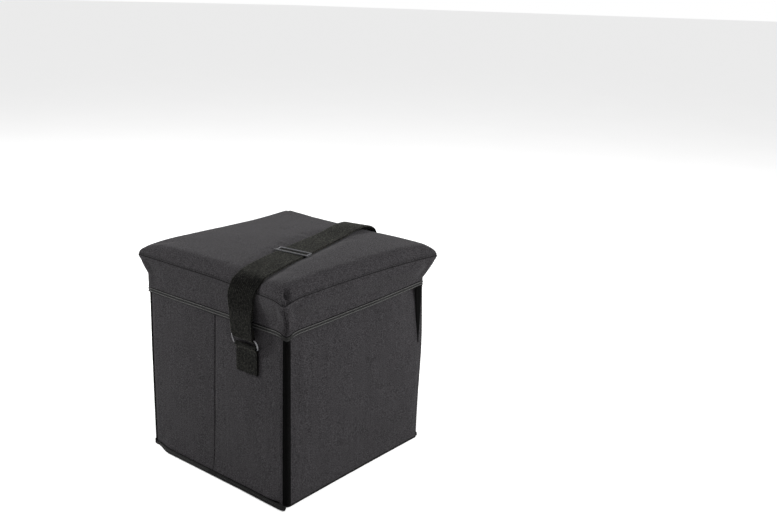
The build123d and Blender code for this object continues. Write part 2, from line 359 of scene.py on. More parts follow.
def fix_normals(obj):
    bm = bmesh.new()
    bm.from_mesh(obj.data)
    bmesh.ops.recalc_face_normals(bm, faces=bm.faces)
    bm.to_mesh(obj.data)
    bm.free()
    obj.data.set_sharp_from_angle(angle=math.radians(60))
    return obj


def apply_modifiers(obj):
    depsgraph = bpy.context.evaluated_depsgraph_get()
    mesh = bpy.data.meshes.new_from_object(obj.evaluated_get(depsgraph))
    obj.modifiers.clear()
    obj.data = mesh
    return obj


def thicken(obj, thickness, offset=-1.0):
    mod = obj.modifiers.new("thick", "SOLIDIFY")
    mod.thickness = thickness
    mod.offset = offset
    mod.use_even_offset = False
    apply_modifiers(obj)
    obj.data.set_sharp_from_angle(angle=math.radians(50))
    return obj


def subdivide(obj, levels=1):
    mod = obj.modifiers.new("smooth", "SUBSURF")
    mod.levels = levels
    mod.render_levels = levels
    return apply_modifiers(obj)


def grid_faces(rows, columns, wrap_rows=False, wrap_columns=False):
    faces = []
    for i in range(rows if wrap_rows else rows - 1):
        for j in range(columns if wrap_columns else columns - 1):
            a, b = i * columns + j, i * columns + (j + 1) % columns
            c, d = ((i + 1) % rows) * columns + (j + 1) % columns, ((i + 1) % rows) * columns + j
            faces.append((a, b, c, d))
    return faces


def spaced(a, b, count):
    return [a + (b - a) * i / (count - 1) for i in range(count)]


def bell(distance, width):
    return math.exp(-((distance / width) ** 2))


def wobble(point, scale, seed=0.0):
    """Smooth repeatable noise, -1 to 1, of a point in metres."""
    return noise.noise(Vector(point) * scale + Vector((seed, seed * 1.7, seed * 0.6)))


# ---------------------------------------------------------------- the walls' outline in plan
NORMALS = {"front": (0, -1, 0), "back": (0, 1, 0), "left": (-1, 0, 0), "right": (1, 0, 0)}


def side_run(side, places, half):
    """Points along one wall, each with the wall's outward normal."""
    out = Vector(NORMALS[side])
    along = Vector((abs(out.y), abs(out.x), 0))
    return [(along * t + out * half, out.copy()) for t in places]




def corner_run(sx, sy, half, radius, x_from=None, y_to=None, arc=9):
    """Round one corner, from the plain wall to the creased leaf."""
    x_from = PLAIN if x_from is None else x_from
    y_to = LEAF if y_to is None else y_to
    run = []
    for x in spaced(x_from, half - radius, 6)[:-1]:
        run.append((Vector((sx * x, sy * half, 0)), Vector((0, sy, 0))))
    for t in spaced(0, math.pi / 2, arc):
        n = Vector((sx * math.sin(t), sy * math.cos(t), 0))
        centre = Vector((sx * (half - radius), sy * (half - radius), 0))
        run.append((centre + n * radius, n))
    for y in spaced(half - radius, y_to, 8)[1:]:
        run.append((Vector((sx * half, sy * y, 0)), Vector((sx, 0, 0))))
    return run


CREASE = 10 * MM                             # half width of the cloth that bends at a crease
# Each wall leaf: its CAD prefix, side, span and the body it rides
LEAVES = [
    ("front", "front", -PLAIN, PLAIN, "front_wall"),
    ("back", "back", -PLAIN, PLAIN, "back_wall"),
    ("left_front", "left", -LEAF, -CREASE, "left_front_leaf"),
    ("left_rear", "left", CREASE, LEAF, "left_rear_leaf"),
    ("right_front", "right", -LEAF, -CREASE, "right_front_leaf"),
    ("right_rear", "right", CREASE, LEAF, "right_rear_leaf"),
]
# Each corner: its name, signs, and the bodies on its plain and its creased side
CORNERS = [
    ("front_left", -1, -1, "front_wall", "left_front_leaf"),
    ("front_right", 1, -1, "front_wall", "right_front_leaf"),
    ("rear_left", -1, 1, "back_wall", "left_rear_leaf"),
    ("rear_right", 1, 1, "back_wall", None),
]
CREASES = [
    ("left", "left_front_leaf", "left_rear_leaf"),
    ("right", "right_front_leaf", "right_rear_leaf"),
]


def attach_corner(obj, plain_body, leaf_body):
    """Corner fabric between the plain wall and the leaf keeps its built shape, baked in place; the opened
    pivot's corner rides its wall.
    """
    if leaf_body is None:
        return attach(obj, plain_body)
    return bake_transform(obj)


def attach_crease(obj):
    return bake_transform(obj)


def rise_between(value, start, end):
    t = max(0.0, min(1.0, (value - start) / (end - start)))
    return t * t * (3 - 2 * t)


def splay(point, z, share=1.0):
    """The filled carrier stands slightly out of square: its corners swell outwards."""
    x, y = point.x / H, point.y / H
    swell = (
        (-1, 1, 4.1 - 0.9 * rise_between(z, 0.15, 0.29)),
        (1, -1, 3.5 + 3.0 * bell(z - 0.185, 0.095)),
        (1, 1, 3.2),
        (-1, -1, 2.2 * rise_between(z, 0.12, 0.0)),
    )
    move = Vector((0, 0, 0))
    for a, b, reach in swell:
        near_x, near_y = max(0.0, (1 + a * x) / 2), max(0.0, (1 + b * y) / 2)
        move.x += a * reach * near_x ** 6 * near_y
        move.y += b * reach * near_y ** 6 * near_x ** 1.6
    return move * share * MM


def crease_line(z):
    """The fold leans a little from the base to the rim."""
    return (4.6 - 9.0 * z / 0.3) * MM


def far_pull(along):
    """The canvas is drawn in beside the far front corner, which stands proud of it."""
    return rise_between(along, 95 * MM, 139 * MM) * rise_between(along, 157 * MM, 142 * MM)


def wall_relief(point, normal, z):
    """How far the canvas stands off its flat plane, in metres."""
    if abs(normal.x) not in (0.0, 1.0):
        return 0.0
    plain = abs(normal.y) > 0.5
    along = point.x if plain else point.y
    from_corner = H - abs(along)
    side = rise_between(from_corner, STRIP_HALF, 15 * MM)
    rise = rise_between(z, 6 * MM, 24 * MM) * rise_between(z, RIM - 10 * MM, RIM - 34 * MM)
    up = max(0.0, min(1.0, z / RIM))
    belly = math.sin(math.pi * up) ** 0.8
    if plain:
        full = 4.0 if point.y < 0 else 2.4
        below_hem = rise_between(z, 0.288, 0.268)
        swell = 1.2 + full * belly * max(0.0, 1 - (along / PLAIN) ** 4) * below_hem
        swell += 1.9 * bell(from_corner - 32 * MM, 13 * MM) * rise_between(z, 0.09, 0.25) * below_hem
        if point.y < 0:
            dip = bell(along + 152 * MM, 26 * MM) * rise_between(z, 0.06, 0.18)
            swell -= min(1.5 * dip, swell - 0.5)
            swell -= 5.8 * far_pull(along) * rise_between(z, 0.145, 0.25)
    else:
        t = min(1.0, abs(along) / LEAF)
        swell = 1.2 + 2.5 * belly * math.sin(math.pi * t)
        swell *= rise_between(abs(along - crease_line(z)), 0.0, 2.8 * MM)
        swell -= 1.0 * bell(along - TAB_Y, 34 * MM) * bell(z - 0.232, 42 * MM)
    ripple = wobble((point.x, point.y, z * 0.7), 9.0) * 0.55
    ripple += wobble((point.x, point.y, z), 24.0, 3.1) * 0.22
    hang = bell(z - SKIRT_LOW, 30 * MM) * 0.35 * wobble((point.x, point.y, 0), 55.0, 7.7)
    return (swell + ripple + hang) * side * rise * MM


def sheet(name, run, heights, material, relief, thickness=0.8 * MM, outward=True, spread=1.0):
    """Fabric sheet over a run of plan points and a list of heights."""
    verts, uvs, length = [], [], 0.0
    last = None
    for point, normal in run:
        length += (point - last).length if last is not None else 0.0
        last = point
        for z in heights:
            away = relief(point, normal, z) + base_flare(point, normal, z) * spread
            p = point + normal * away + splay(point, z, spread)
            verts.append((p.x, p.y, z))
            uvs.append((z, length))
    obj = make(name, verts, grid_faces(len(run), len(heights)), material, uvs)
    orient(obj, run[len(run) // 2], outward)
    return thicken(obj, thickness)


def orient(obj, sample, outward):
    """Turns a sheet's faces so that they look along the sample normal, or against it."""
    middle = obj.data.polygons[len(obj.data.polygons) // 2]
    facing = middle.normal.dot(sample[1]) > 0
    if facing != outward:
        obj.data.flip_normals()


def running_length(profile):
    reach = [0.0]
    for (o1, z1), (o2, z2) in zip(profile, profile[1:]):
        reach.append(reach[-1] + math.hypot(o2 - o1, z2 - z1))
    return reach


def end_caps(rows, count):
    """The two faces that close a tube of rows rings of count points."""
    return [tuple(range(count))[::-1], tuple((rows - 1) * count + i for i in range(count))]


def band(name, run, profile, material, waver=0.0, flare=False):
    """Closed cross-section (offset, z) carried along a run of plan points."""
    verts, uvs, length, last = [], [], 0.0, None
    reach = running_length(profile)
    for point, normal in run:
        length += (point - last).length if last is not None else 0.0
        last = point
        for (offset, z), across in zip(profile, reach):
            shift = wobble((point.x, point.y, z), 60.0, 2.2) * waver
            share = max(0.0, min(1.0, 1 + offset / (5 * MM)))
            away = flanged(offset, point)
            if flare:
                away += base_flare(point, normal, z)
            p = point + normal * (away + shift) + splay(point, z, share)
            verts.append((p.x, p.y, z + shift * 0.6))
            uvs.append((length, across))
    faces = grid_faces(len(run), len(profile), wrap_columns=True) + end_caps(len(run), len(profile))
    return fix_normals(make(name, verts, faces, material, uvs))


def arc(cx, cz, radius, start, end, count=6):
    """Points of an arc in (offset, z), angles in degrees."""
    turn = spaced(math.radians(start), math.radians(end), count)
    return [(cx + radius * math.cos(t), cz + radius * math.sin(t)) for t in turn]


def rim_profile(half_in):
    """Tape folded over the rim: outer leg, rounded top, inner leg."""
    out, inner = 1.2 * MM, -(H - half_in) - 1.2 * MM
    points = [(0.05 * MM, RIM_LOW)] + [(out * 0.9, RIM_LOW + 0.1 * MM)]
    points += [(out, z) for z in spaced(RIM_LOW + 0.6 * MM, RIM - 3 * MM, 5)]
    points += arc(out - 2.4 * MM, RIM - 2.5 * MM, 2.4 * MM, 10, 90, 5)
    points += arc(inner + 2.4 * MM, RIM - 2.5 * MM, 2.4 * MM, 90, 170, 5)
    points += [(inner, z) for z in spaced(RIM - 3 * MM, RIM_LOW + 2.6 * MM, 4)]
    points += [(inner + 1.1 * MM, RIM_LOW + 2 * MM), (inner + 1.2 * MM, RIM - 2 * MM), (0.0, RIM - 2 * MM)]
    return points


def flange_reach(point):
    """Share of the bound edge that lies out: all on the left, half elsewhere, little at the rear corners."""
    if point.x < -PLAIN:
        return rise_between(point.y, 0.154, 0.112) * (1 + 0.15 * rise_between(point.y, -0.05, -0.165))
    if point.x > PLAIN:
        return 0.10 + 0.65 * rise_between(point.y, -0.110, -0.040) * rise_between(point.y, 0.172, 0.140)
    if point.x < 0 and point.y < 0:
        return 0.80
    return 0.10 + 0.65 * rise_between(abs(point.x), 0.165, 0.130)


def flanged(offset, point):
    """An offset from the wall, with whatever lies beyond 2 mm shortened as the bound edge is there."""
    if offset <= 2 * MM:
        return offset
    return 2 * MM + (offset - 2 * MM) * flange_reach(point)


def base_flare(point, normal, z):
    """The filled walls spread towards the bound edge at their feet."""
    share = normal.x ** 2 if point.y < 0 else 1.0
    share *= 1 - 0.65 * rise_between(abs(point.y), 0.128, 0.158)
    t = max(0.0, min(1.0, (34 * MM - z) / (28 * MM)))
    return (0.4 + 6.3 * flange_reach(point)) * MM * t * t * share


def base_profile(half_in, foot):
    """Bound edge sewn round the base, turned outwards onto the floor."""
    inner = -(H - half_in) - 1.0 * MM
    shape = [(8.2, 6.6), (9.3, 6.2), (10.0, 5.0), (10.4, 3.2), (11.6, 2.6), (12.4, 1.9)]
    shape += [(12.5, 1.0), (11.6, 0.1), (7.0, 0.0), (2.0, 0.2), (-2.0, 0.3)]
    points = [(out * MM, foot + up * MM) for out, up in shape]
    points += [(inner, foot + 0.4 * MM), (inner, foot + 1.8 * MM), (-1.6 * MM, foot + 2.0 * MM)]
    return points + [(3.0 * MM, foot + 2.2 * MM), (6.4 * MM, foot + 4.0 * MM)]


def hem_profile(half_in, foot):
    """The hinged side's hem is turned under the edge, so only a thin fold shows."""
    inner = -(H - half_in) - 1.0 * MM
    shape = [(-0.6, 3.6), (0.35, 3.2), (0.75, 2.2), (0.7, 1.0), (0.2, 0.1), (-2.0, 0.0)]
    points = [(out * MM, foot + up * MM) for out, up in shape]
    return points + [(inner, foot + 0.1 * MM), (inner, foot + 1.6 * MM), (-1.6 * MM, foot + 1.8 * MM)]


def stitches(name, run, offset, z, pitch=4.2 * MM):
    """A row of pale thread stitches lying on a run of plan points."""
    verts, faces, total, due = [], [], 0.0, pitch / 2
    for a, b in zip(run, run[1:]):
        step = (b[0] - a[0]).length
        while due < total + step:
            t = (due - total) / step
            along, out = (b[0] - a[0]).normalized(), a[1].lerp(b[1], t)
            at = a[0].lerp(b[0], t)
            centre = at + out * flanged(offset, at) + Vector((0, 0, z)) + splay(at, z)
            add_stitch(verts, faces, centre, along, out.normalized(), 2.8 * MM, 0.45 * MM)
            due += pitch
        total += step
    return make(name, verts, faces, THREAD_PALE)


def add_stitch(verts, faces, centre, along, out, length, thick):
    """One stitch: a six-sided bead tapered at both ends."""
    side = along.cross(out).normalized()
    base = len(verts)
    for step, grow in ((-0.5, 0.35), (-0.3, 1.0), (0.3, 1.0), (0.5, 0.35)):
        for k in range(6):
            turn = math.pi * k / 3
            ring = side * math.cos(turn) * thick * 0.62 + out * math.sin(turn) * thick * 0.5
            verts.append(centre + along * step * length + ring * grow)
    for level in range(3):
        for k in range(6):
            a = base + level * 6 + k
            b = base + level * 6 + (k + 1) % 6
            faces.append((a, b, b + 6, a + 6))
    faces.append(tuple(base + k for k in range(6))[::-1])
    faces.append(tuple(base + 18 + k for k in range(6)))


# ---------------------------------------------------------------- walls
def fine_span(a, b, marks, count):
    """Even samples with extra ones close to each mark."""
    values = set(spaced(a, b, count))
    for mark in marks:
        for d in (-3.0, -2.0, -1.3, -0.7, 0.0, 0.7, 1.3, 2.0, 3.0):
            value = mark + d * MM
            if a < value < b:
                values.add(value)
    return sorted(values)


def leaf_run(side, a, b, half, fine=True):
    marks = [0.2 * MM + STRIP_HALF - H, H - STRIP_HALF - 0.2 * MM] if fine else []
    count = 44 if b - a > 0.2 else 24
    return side_run(side, fine_span(a, b, marks, count), half)


def build_walls():
    heights_front = spaced(low("front_base_tape").z + 1.5 * MM, RIM - 2 * MM, 46)
    heights = spaced(FOOT + 1.5 * MM, RIM - 2 * MM, 46)
    for prefix, side, a, b, body in LEAVES:
        tall = heights_front if prefix == "front" else heights
        foot = foot_of(prefix == "front")
        run = leaf_run(side, a, b, H)
        piece = sheet(f"canvas_{prefix}", run, tall, CANVAS, wall_relief)
        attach(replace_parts(piece, f"{prefix}_shell"), body)
        piece = liner(prefix, leaf_run(side, a, b, HI, fine=False), tall[0])
        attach(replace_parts(piece, f"{prefix}_liner"), body)
        tape = band(f"rim_tape_{prefix}", run, rim_profile(HI), BINDING, 0.25 * MM)
        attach(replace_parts(tape, f"{prefix}_rim_tape"), body)
        shape = hem_profile(HI, foot) if prefix == "front" else base_profile(HI, foot)
        # The left rear leaf's base tape gets the paler copy of the hem tape: painted light; the others keep
        # the dark hem tape.
        lit_or_plain_tape = HEM_PAINTED_LIT if prefix == "left_rear" else HEM
        tape = band(f"base_tape_{prefix}", run, shape, lit_or_plain_tape, 0.5 * MM)
        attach(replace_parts(tape, f"{prefix}_base_tape"), body)
        for row, (offset, z) in enumerate(stitch_rows(foot, prefix == "front")):
            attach(stitches(f"stitch_{prefix}_{row}", run, offset, z), body)


def foot_of(front):
    """Lower edge of the base tape. Only the front wall, with the bottom panel, stands on the floor."""
    return 0.3 * MM if front else 1.2 * MM


def stitch_rows(foot, front):
    rim = (1.25 * MM, RIM_LOW + 2.4 * MM)
    return (rim,) if front else (rim, (10.3 * MM, foot + 4.3 * MM))


def liner_relief(point, normal, z):
    """Film hangs in soft vertical folds, deeper towards corners and the crease, into the cavity."""
    plain = abs(normal.y) > abs(normal.x)
    along = point.x if plain else point.y
    near_corner = bell(HI - abs(along), 34 * MM)
    near_crease = 0.0 if plain else bell(along, 22 * MM)
    top = max(0.0, min(1.0, (RIM - 6 * MM - z) / (14 * MM)))
    gather = 0.25 + 0.9 * near_corner + 0.7 * near_crease
    fold = abs(wobble((point.x, point.y, z * 0.35), 26.0, 11.0))
    fold += 0.5 * abs(wobble((point.x, point.y, z * 0.8), 60.0, 4.0))
    return -min(2.2 * MM, 2.6 * MM * gather * fold * top)


def liner(name, run, foot):
    heights = spaced(foot, RIM - 4 * MM, 60)
    return sheet(f"liner_{name}", run, heights, FILM, liner_relief, 0.5 * MM, False, 0.0)


def build_corners():
    for name, sx, sy, plain_body, leaf_body in CORNERS:
        front = sy < 0
        foot = foot_of(front)
        tall = spaced(foot + 1.5 * MM, RIM - 2 * MM, 46)
        run = corner_run(sx, sy, H, CORNER_R)
        cad = f"corner_strip_{name}"
        pieces = [sheet(f"canvas_corner_{name}", run, tall, CANVAS, wall_relief)]
        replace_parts(pieces[0], cad)
        strip = corner_run(sx, sy, H, CORNER_R, H - STRIP_HALF, H - STRIP_HALF)
        if name == "front_right":
            strip = [step for step in strip if abs(step[1].x) > 0.62]
        lowest, highest = foot + 2 * MM, RIM - 3 * MM
        profile = [(-0.4 * MM, lowest)] + [(0.55 * MM, z) for z in spaced(lowest, highest, 30)]
        profile += [(-0.4 * MM, highest)]
        # The hinge tape is near black: painted shade of the recessed corner.
        pieces.append(band(f"hinge_tape_{name}", strip, profile, STRIP, flare=True))
        back = H - 4 * MM
        tape = band(f"rim_tape_corner_{name}", run, rim_profile(back), BINDING, 0.2 * MM)
        pieces.append(tape)
        bound = run
        if front:
            pieces.append(band(f"hem_corner_{name}", run, hem_profile(back, foot), HEM))
            bound = [step for step in run if abs(step[1].x) > 0.75]
        shape = base_profile(back, foot_of(False))
        pieces.append(band(f"base_tape_corner_{name}", bound, shape, HEM))
        inner = corner_run(sx, sy, HI, 4 * MM, PLAIN - 4 * MM, LEAF)
        pieces.append(liner(f"corner_{name}", inner, foot + 3 * MM))
        for row, (offset, z) in enumerate(stitch_rows(foot, front)):
            pieces.append(stitches(f"stitch_corner_{name}_{row}", run, offset, z))
        # Painted shadow of the fold under the skirt beside the far front corner.
        if name == "front_right":
            pieces.append(painted_fold_shadow())
        for piece in pieces:
            attach_corner(piece, plain_body, leaf_body)


def painted_fold_shadow():
    """Painted shadow: the far front corner's near-black hinge tape, drawn round onto the front under the
    skirt to a point, stands in for the shade in the fold there.
    """
    verts, levels, columns = [], 40, 12
    for z in spaced(0.190, 0.310, levels):
        up = rise_between(z, 0.170, 0.290)
        near, far = H - (13.5 - 9.0 * up) * MM, H - (14.5 + 5.5 * up) * MM
        for index, along in enumerate(spaced(far, near, columns)):
            point, normal = Vector((along, -H, 0)), Vector((0, -1, 0))
            lift = -0.5 * MM if index in (0, columns - 1) else 0.35 * MM
            p = point + normal * (max(0.0, wall_relief(point, normal, z)) + lift) + splay(point, z)
            verts.append((p.x, p.y, z))
    tape = make("fold_shadow_painted", verts, grid_faces(levels, columns), STRIP)
    orient(tape, (None, Vector((0, -1, 0))), True)
    return thicken(tape, 0.5 * MM)


def crease_shade_cord(side, foot):
    """Sewn channel between the two stiff panels of a creased wall: one continuous black cord laid in the
    groove, the seam with painted shade of the channel.
    """
    sx = -1 if side == "left" else 1
    verts, heights = [], spaced(foot + 4 * MM, RIM - 6 * MM, 60)
    for z in heights:
        at = Vector((sx * H, crease_line(z), z))
        at += splay(at, z) + Vector((sx * base_flare(at, Vector((sx, 0, 0)), z), 0, 0))
        for away, along in ((0.05, -0.75), (0.30, -0.35), (0.30, 0.35), (0.05, 0.75), (-0.5, 0.0)):
            verts.append(at + Vector((sx * away * MM, along * MM, 0)))
    faces = grid_faces(len(heights), 5, wrap_columns=True) + end_caps(len(heights), 5)
    return fix_normals(make(f"crease_seam_shade_{side}", verts, faces, THREAD))


def build_creases():
    for side, front_body, rear_body in CREASES:
        foot = foot_of(False)
        run = side_run(side, spaced(-CREASE, CREASE, 41), H)
        inner = side_run(side, spaced(-CREASE, CREASE, 41), HI)
        tall = spaced(FOOT + 1.5 * MM, RIM - 2 * MM, 46)
        pieces = [
            sheet(f"canvas_crease_{side}", run, tall, CANVAS, wall_relief),
            band(f"rim_tape_crease_{side}", run, rim_profile(HI), BINDING),
            band(f"base_tape_crease_{side}", run, base_profile(HI, foot), HEM),
            crease_shade_cord(side, foot),
            liner(f"crease_{side}", inner, tall[0]),
        ]
        for piece in pieces:
            attach_crease(piece)


# ---------------------------------------------------------------- bottom panel
def build_bottom():
    lo, hi = low("bottom_fabric"), high("bottom_liner")
    layers = (
        ("panel_liner", hi.z - 0.6 * MM, hi.z, FILM, "liner", "bottom_liner", 0.5 * MM),
        ("panel_fabric", lo.z, lo.z + 0.8 * MM, CANVAS, "canvas", "bottom_fabric", 0.0),
    )
    for name, z0, z1, material, slot, cad, wrinkle in layers:
        top, under = [], []
        for x in spaced(lo.x, hi.x, 40):
            for y in spaced(lo.y, hi.y, 40):
                dip = wrinkle * (wobble((x, y, 0), 22.0, 9.0) - 0.5)
                top.append(Vector((x, y, z1 + max(dip, -0.4 * MM))))
                under.append(Vector((x, y, z0)))
        piece = closed_slab(name, top, under, material)
        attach(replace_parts(piece, cad), "bottom_panel")


# ---------------------------------------------------------------- lid
PAD_EDGE = 21 * MM                           # how far in from the seam the pad is rolled
PAD_RISE = 22.8 * MM                         # how high its flat top stands above the seam
PAD_CROWN = 6.8 * MM                         # how much more its middle swells
# Corner signs, how far its tip sits from the square outline in millimetres, how thin the pad gets there
LID_TIPS = [
    (-1, -1, (-5.0, 1.0, -3.5), 0.0),
    (-1, 1, (-0.8, 2.0, 1.8), 0.22),
    (1, -1, (7.6, -8.2, -0.8), 0.12),
    (1, 1, (1.2, 1.8, 8.0), 0.05),
]


# The strap's middle over the lid, in millimetres: x, y from the tab's middle, z from the strap's level.
# The last two values are its lean along x and upwards.
STRAP_LIE = [
    (-178.5, -6.5, -22.2, -0.190, 0.040),
    (-175.0, -10.1, -13.5, -0.280, 0.040),
    (-163.4, -9.6, -6.2, -0.100, 0.065),
    (-140.0, -3.0, -3.6, -0.060, 0.085),
    (-112.0, 3.0, -1.8, -0.150, 0.080),
    (-80.0, 11.5, -0.8, -0.240, 0.060),
    (-42.0, 20.5, -0.4, -0.270, 0.055),
    (0.0, 31.0, 0.0, -0.240, 0.045),
    (50.0, 42.5, 0.8, -0.185, 0.020),
    (80.0, 48.1, 2.6, -0.185, 0.0),
    (110.0, 53.6, 6.0, -0.185, 0.0),
    (138.0, 58.8, 7.0, -0.185, 0.0),
    (162.0, 63.3, 3.6, -0.185, 0.0),
]


def strap_lie(x):
    """The strap's middle point at x and the upward lean across its width."""
    for a, b in zip(STRAP_LIE, STRAP_LIE[1:]):
        if x <= b[0] * MM or b is STRAP_LIE[-1]:
            t = max(0.0, min(1.0, (x / MM - a[0]) / (b[0] - a[0])))
            y, z, lean = (a[k] + (b[k] - a[k]) * t for k in (1, 2, 4))
            return Vector((x, TAB_Y + y * MM, STRAP_Z + z * MM)), lean


def lid_outline(s, t, half):
    """Plan point and seam height for square coordinates s and t, each -1 to 1. The sides bow in by 2 mm."""
    x = s * (half - 2 * MM * (1 - t * t))
    y = t * (half - 2 * MM * (1 - s * s))
    z = SEAM_Z
    for a, b, (dx, dy, dz), _ in LID_TIPS:
        share = ((1 + a * s) / 2 * (1 + b * t) / 2) ** 5
        x += dx * MM * share
        y += dy * MM * share
        z += dz * MM * share
    near = math.hypot((1 + s) * half, (1 + t) * half)
    pulled = ((1 - s) / 2) ** 5
    x += 3.4 * MM * pulled * bell(y - TAB_Y + 24 * MM, 24 * MM)
    z -= 3.4 * MM * pulled * bell(y - TAB_Y + 18 * MM, 46 * MM)
    return x, y, z - 5.0 * MM * bell(near, 17 * MM)


def rolled(distance):
    q = max(0.0, min(1.0, distance / PAD_EDGE))
    return (1 - (1 - q) ** 2.4) ** (1 / 2.2)


def pad_point(s, t, inset=0.0):
    """A point of the padded top, which thins towards its corners and gives way under the strap."""
    x, y, z = lid_outline(s, t, LID_H - inset)
    du, dv = max(1e-6, (1 - abs(s)) * LID_H), max(1e-6, (1 - abs(t)) * LID_H)
    u, v = rolled(du), rolled(dv)
    depth = (du ** -3 + dv ** -3) ** (-1 / 3)
    full = 1.0
    for a, b, _, thin in LID_TIPS:
        away = math.hypot((1 - a * s) * LID_H, (1 - b * t) * LID_H)
        full -= thin * bell(away, 42 * MM)
    z += (PAD_RISE - inset) * rolled(depth) * full + PAD_CROWN * (1 - s * s) * (1 - t * t)
    mid, lean = strap_lie(x)
    off = y - mid.y
    press = 1 / (1 + (abs(off) / (33 * MM)) ** 8) * rise_between(x, 0.105, 0.055)
    sunk = mid.z + lean * off - 3.2 * MM - inset
    if z > sunk:
        z += (sunk - z) * press
    crease = bell((abs(t) - abs(s)) * LID_H, 3.5 * MM) * bell((1 - abs(s)) * LID_H - 9 * MM, 9 * MM)
    if s + t < -1:
        groove = bell(du - dv, 2.0 * MM) * bell(du - 5 * MM, 8 * MM)
        hollow = bell(du - 9 * MM, 4.0 * MM) * bell(dv - 3.5 * MM, 4 * MM)
        x += 2.8 * MM * groove
        y += (2.6 * groove + 7.6 * hollow) * MM
        z -= (2.6 * groove + 6.0 * hollow) * MM
    ruck = wobble((x, y, 0), 60.0, 6.1) * (1 - u * v) * 0.9
    ruck += wobble((x, y, 0), 14.0, 2.0) * 0.5 * u * v
    return Vector((x, y, z - 1.7 * MM * crease + ruck * MM * min(1, u * 3) * min(1, v * 3)))


def pad_steps():
    """Square coordinates, closer together over the rolled edge."""
    edge = [-1 + PAD_EDGE / LID_H * (1 - math.cos(a)) for a in spaced(0, math.pi / 2, 11)]
    middle = spaced(edge[-1], -edge[-1], 50)[1:-1]
    return edge + middle + [-e for e in reversed(edge)]


def border_of(count):
    """Grid indices round the edge of a square grid, anticlockwise seen from above."""
    last = count - 1
    ring = [(i, 0) for i in range(last)] + [(last, j) for j in range(last)]
    ring += [(i, last) for i in range(last, 0, -1)] + [(0, j) for j in range(last, 0, -1)]
    return ring


def closed_slab(name, top, under, material):
    """Two square grids of points joined round their edges."""
    count = int(round(math.sqrt(len(top))))
    area = count * count
    faces = grid_faces(count, count)
    faces += [tuple(area + i for i in f[::-1]) for f in faces]
    ring = [i * count + j for i, j in border_of(count)]
    for a, b in zip(ring, ring[1:] + ring[:1]):
        faces.append((a, b, b + area, a + area))
    return fix_normals(make(name, top + under, faces, material))


def build_pad():
    steps = pad_steps()
    count = len(steps)
    top = [pad_point(s, t) for s in steps for t in steps]
    top = inflate(top, steps)
    for i, j in border_of(count):
        place = top[i * count + j]
        top[i * count + j] = Vector((place.x * 0.9965, place.y * 0.9965, place.z - 1.5 * MM))
    cover = make("lid_cover_cloth", top, grid_faces(count, count), CANVAS)
    if cover.data.polygons[count * count // 2].normal.z < 0:
        cover.data.flip_normals()
    subdivide(thicken(cover, 1.0 * MM))
    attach(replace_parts(cover, "lid_top_cover"), "lid")


def inflate(top, steps, cap=0.7 * MM):
    """Cloth under light pressure between its seams: the top puffs and rucks, by no more than cap."""
    count = len(steps)
    under = []
    for s in steps:
        for t in steps:
            x, y, z = lid_outline(s, t, LID_H)
            under.append(Vector((x, y, z - 0.5 * MM)))
    pad = closed_slab("pad_work", list(top), under, CANVAS)
    pins = pad.vertex_groups.new(name="held")
    held = [i * count + j for i, j in border_of(count)] + list(range(count * count, 2 * count * count))
    pins.add(held, 1.0, "REPLACE")
    for i in range(count):
        for j in range(count):
            x, y, _ = top[i * count + j]
            if abs(y - strap_lie(x)[0].y) < 32 * MM and x < 0.09:
                pins.add([i * count + j], 1.0, "REPLACE")
    mod = pad.modifiers.new("cloth", "CLOTH")
    settings = mod.settings
    settings.vertex_group_mass = "held"
    settings.quality = 6
    settings.mass = 0.25
    settings.tension_stiffness = 20
    settings.compression_stiffness = 14
    settings.shear_stiffness = 8
    settings.bending_stiffness = 1.6
    settings.shrink_min = -0.006
    settings.use_pressure = True
    settings.uniform_pressure_force = 1.5
    settings.effector_weights.gravity = 0
    for number in range(1, 21):
        bpy.context.scene.frame_set(number)
    depsgraph = bpy.context.evaluated_depsgraph_get()
    moved = [v.co.copy() for v in pad.evaluated_get(depsgraph).data.vertices][: count * count]
    bpy.context.scene.frame_set(1)
    bpy.data.objects.remove(pad, do_unlink=True)
    settled = []
    for before, after in zip(top, moved):
        step = after - before
        if step.length > cap:
            step = step.normalized() * cap
        settled.append(before + step)
    return settled


def build_pad_core():
    """Foam under the cover and the stiff panel under the foam."""
    steps = spaced(-0.94, 0.94, 44)
    floor_z = high("lid_board").z
    top, under = [], []
    for s in steps:
        for t in steps:
            p = pad_point(s, t, 3.2 * MM)
            foot = min(floor_z, p.z - 1.5 * MM) + 0.1 * MM
            top.append(p)
            under.append(Vector((p.x, p.y, foot)))
    foam = closed_slab("lid_foam_core", top, under, FOAM)
    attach(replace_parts(foam, "lid_foam_pad"), "lid")
    top, under = [], []
    low_z = low("lid_board").z
    for s in spaced(-1, 1, 30):
        for t in spaced(-1, 1, 30):
            x, y = rounded(s, t, 160 * MM, 34 * MM)
            top.append(Vector((x, y, floor_z)))
            under.append(Vector((x, y, low_z)))
    board = closed_slab("lid_stiff_panel", top, under, BOARD)
    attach(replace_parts(board, "lid_board"), "lid")


def rounded(s, t, half, radius):
    """Square coordinates to a plan point of a square with rounded corners."""
    x, y = s * half, t * half
    cx, cy = math.copysign(half - radius, s), math.copysign(half - radius, t)
    if abs(x) > abs(cx) and abs(y) > abs(cy):
        reach = max(abs(x - cx), abs(y - cy))
        away = math.hypot(x - cx, y - cy)
        x, y = cx + (x - cx) / away * reach, cy + (y - cy) / away * reach
    return x, y


def lid_ring(side_count=46):
    """Square coordinates round the lid's edge, closer together near the corners."""
    run = []
    for a in spaced(-1, 1, side_count)[:-1]:
        run.append(math.sin(a * math.pi / 2) * 0.35 + a * 0.65)
    ring = [(1.0, r) for r in run] + [(-r, 1.0) for r in run]
    return ring + [(-1.0, -r) for r in run] + [(r, -1.0) for r in run]


